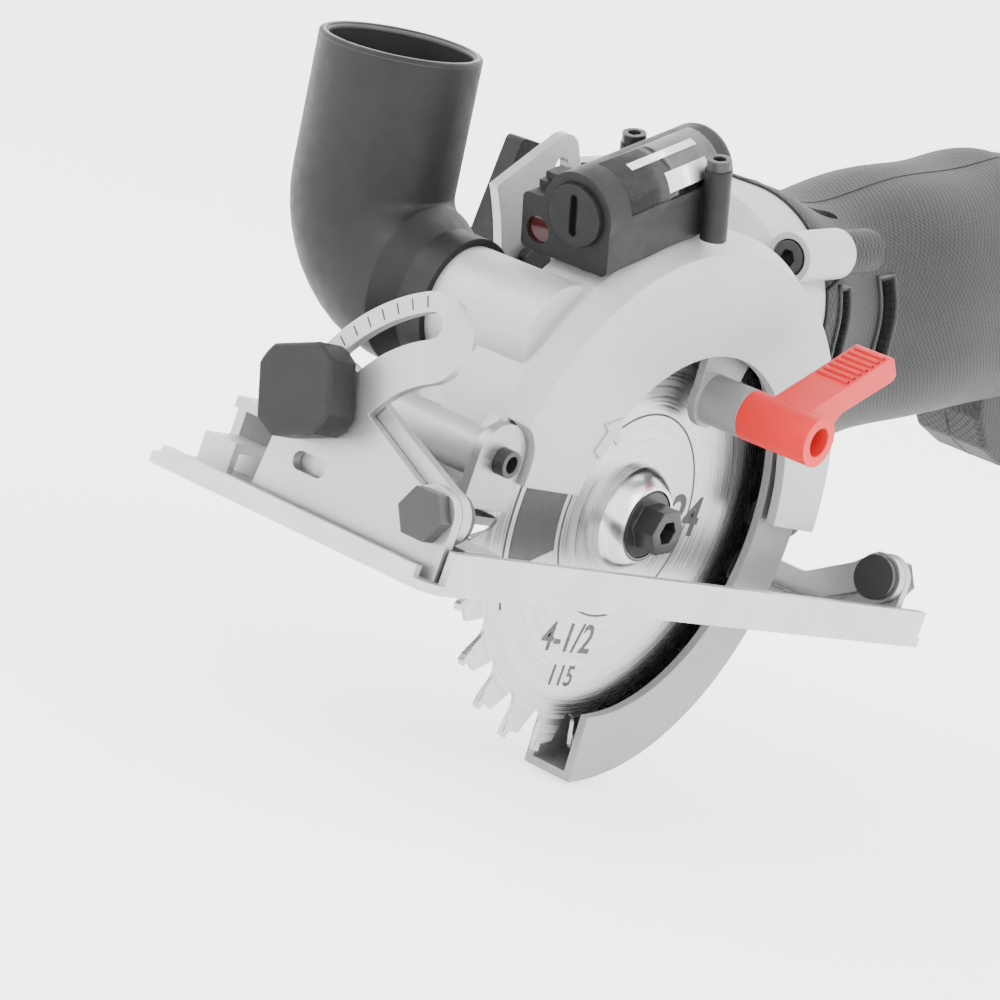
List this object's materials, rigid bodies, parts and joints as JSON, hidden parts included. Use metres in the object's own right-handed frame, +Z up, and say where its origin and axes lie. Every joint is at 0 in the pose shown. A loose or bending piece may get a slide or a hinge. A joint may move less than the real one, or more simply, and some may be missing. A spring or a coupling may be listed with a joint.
{
  "type": "circular saw",
  "caption": "Compact corded circular saw with a long barrel grip, tilting and plunging head, sprung lower guard, laser guide and swivelling dust elbow on a slotted sole.",
  "frame": {"origin": "point on the underside of the sole, on its motor-side rail, level with the arbor", "axes": "+Z up from the sole, -Y the cutting direction (front), +X towards the blade side"},
  "size_m": [0.1177, 0.4472, 0.1704],
  "materials": {
    "plated_steel": "satin",
    "sole_sheet": "satin",
    "cast_alloy": "satin",
    "guard_alloy": "satin",
    "blade_steel": "brushed",
    "carbide": "ground",
    "polished_steel": "polished",
    "black_steel": "oxide",
    "dark_plastic": "fine textured",
    "soft_grip": "diamond textured",
    "red_plastic": "satin",
    "bearing_steel": "ground",
    "bronze": "sintered",
    "copper": "enamelled",
    "lamination": "stacked sheet",
    "carbon": "matt",
    "lens": "clear",
    "cell": "plated"
  },
  "bodies": {
    "shoe": {"base_plate": "sole_sheet", "bevel_quadrant": "plated_steel", "rear_pivot_bracket": "plated_steel", "bracket_rivets": "plated_steel", "bevel_pivot_pins": "black_steel"},
    "tilt_frame": {"tilt_frame": "plated_steel", "bevel_bolt": "black_steel", "depth_pivot_pin": "black_steel", "depth_bolt": "black_steel"},
    "bevel_knob": {"bevel_knob": "dark_plastic"},
    "depth_lever": {"depth_lock_lever": "dark_plastic"},
    "head": {"upper_guard": "cast_alloy", "gear_case": "cast_alloy", "depth_plate": "plated_steel", "depth_plate_screws": "black_steel", "spindle_bearing": "bearing_steel", "spindle_bush": "bronze", "shaft_bearings": "bearing_steel", "bearing_plate": "dark_plastic", "field_core": "lamination", "field_coils": "copper", "carbon_brushes": "carbon", "brush_holders": "bronze", "housing_left": "dark_plastic", "housing_right": "dark_plastic", "grip_overmold": "soft_grip", "housing_screws": "black_steel", "gear_case_screws": "black_steel", "switch_body": "dark_plastic", "cord_gland": "soft_grip", "guard_retainer": "polished_steel", "guard_return_spring": "bearing_steel", "guard_screws": "black_steel", "laser_housing": "dark_plastic", "laser_module": "lens", "button_cells": "cell", "laser_screws": "black_steel"},
    "blade": {"blade": "blade_steel", "carbide_tips": "carbide", "inner_flange": "polished_steel", "outer_flange": "polished_steel", "blade_bolt": "black_steel", "spindle": "bearing_steel", "spindle_gear": "bearing_steel"},
    "layshaft": {"layshaft": "bearing_steel", "layshaft_gear": "bearing_steel"},
    "armature": {"armature_shaft": "bearing_steel", "armature_core": "lamination", "armature_windings": "copper", "commutator": "copper", "cooling_fan": "dark_plastic"},
    "lower_guard": {"lower_guard": "guard_alloy", "guard_lever": "red_plastic", "lever_screw": "black_steel"},
    "dust_elbow": {"dust_elbow": "dark_plastic"},
    "trigger": {"trigger": "dark_plastic"},
    "lock_off": {"lock_off_button": "dark_plastic"},
    "spindle_lock": {"spindle_lock_button": "dark_plastic"},
    "laser_switch": {"laser_switch": "dark_plastic"},
    "battery_cap": {"battery_cap": "dark_plastic"}
  },
  "joints": [
    {"name": "bevel", "type": "hinge", "parent": "shoe", "child": "tilt_frame", "pos_m": [0.0618, 0, 0.0141], "axis": [0, 1, 0], "range_deg": [0, 45]},
    {"name": "bevel_knob_turn", "type": "hinge", "parent": "tilt_frame", "child": "bevel_knob", "pos_m": [0.02604, -0.104, 0.02768], "axis": [0, -1, 0], "range_deg": [-270, 0]},
    {"name": "depth", "type": "hinge", "parent": "tilt_frame", "child": "head", "pos_m": [0.0425, -0.066, 0.025], "axis": [1, 0, 0], "range_deg": [0, 35]},
    {"name": "depth_lever_turn", "type": "hinge", "parent": "tilt_frame", "child": "depth_lever", "pos_m": [-0.0235, 0.01335, 0.06066], "axis": [1, 0, 0], "range_deg": [0, 60]},
    {"name": "lower_guard_swing", "type": "hinge", "parent": "head", "child": "lower_guard", "pos_m": [0.0425, 0, 0.0155], "axis": [1, 0, 0], "range_deg": [0, 60], "stiffness_Nm_per_rad": 0.12, "springref_deg": -20.05},
    {"name": "blade_spin", "type": "hinge", "parent": "head", "child": "blade", "pos_m": [0.0425, 0, 0.0155], "axis": [1, 0, 0], "continuous": true},
    {"name": "layshaft_spin", "type": "hinge", "parent": "head", "child": "layshaft", "pos_m": [0.0045, 0, 0.0155], "axis": [0, 0.9792, 0.2028], "continuous": true},
    {"name": "armature_spin", "type": "hinge", "parent": "head", "child": "armature", "pos_m": [-0.0025, 0.09305, 0.05928], "axis": [0, 0.9792, 0.2028], "continuous": true},
    {"name": "elbow_swivel", "type": "hinge", "parent": "head", "child": "dust_elbow", "pos_m": [0.0045, -0.04978, 0.05074], "axis": [1, 0, 0], "range_deg": [-20, 90]},
    {"name": "trigger_pull", "type": "slide", "parent": "head", "child": "trigger", "axis": [0, -0.2028, 0.9792], "range_m": [0, 0.0045], "stiffness_N_per_m": 600, "springref_m": -0.002},
    {"name": "lock_off_press", "type": "slide", "parent": "head", "child": "lock_off", "axis": [-1, 0, 0], "range_m": [0, 0.003], "stiffness_N_per_m": 500, "springref_m": -0.001},
    {"name": "spindle_lock_press", "type": "slide", "parent": "head", "child": "spindle_lock", "axis": [0, 0.2028, -0.9792], "range_m": [0, 0.0034], "stiffness_N_per_m": 500, "springref_m": -0.001},
    {"name": "laser_switch_slide", "type": "slide", "parent": "head", "child": "laser_switch", "axis": [0, 0.9033, 0.4289], "range_m": [0, 0.003]},
    {"name": "battery_cap_turn", "type": "hinge", "parent": "head", "child": "battery_cap", "pos_m": [0.0395, -0.05404, 0.078], "axis": [0, -0.9033, -0.4289], "range_deg": [0, 90]}
  ],
  "couplings": [
    {"joint": "layshaft_spin", "follows": "blade_spin", "ratio": -2},
    {"joint": "armature_spin", "follows": "blade_spin", "ratio": 5.2727}
  ]
}
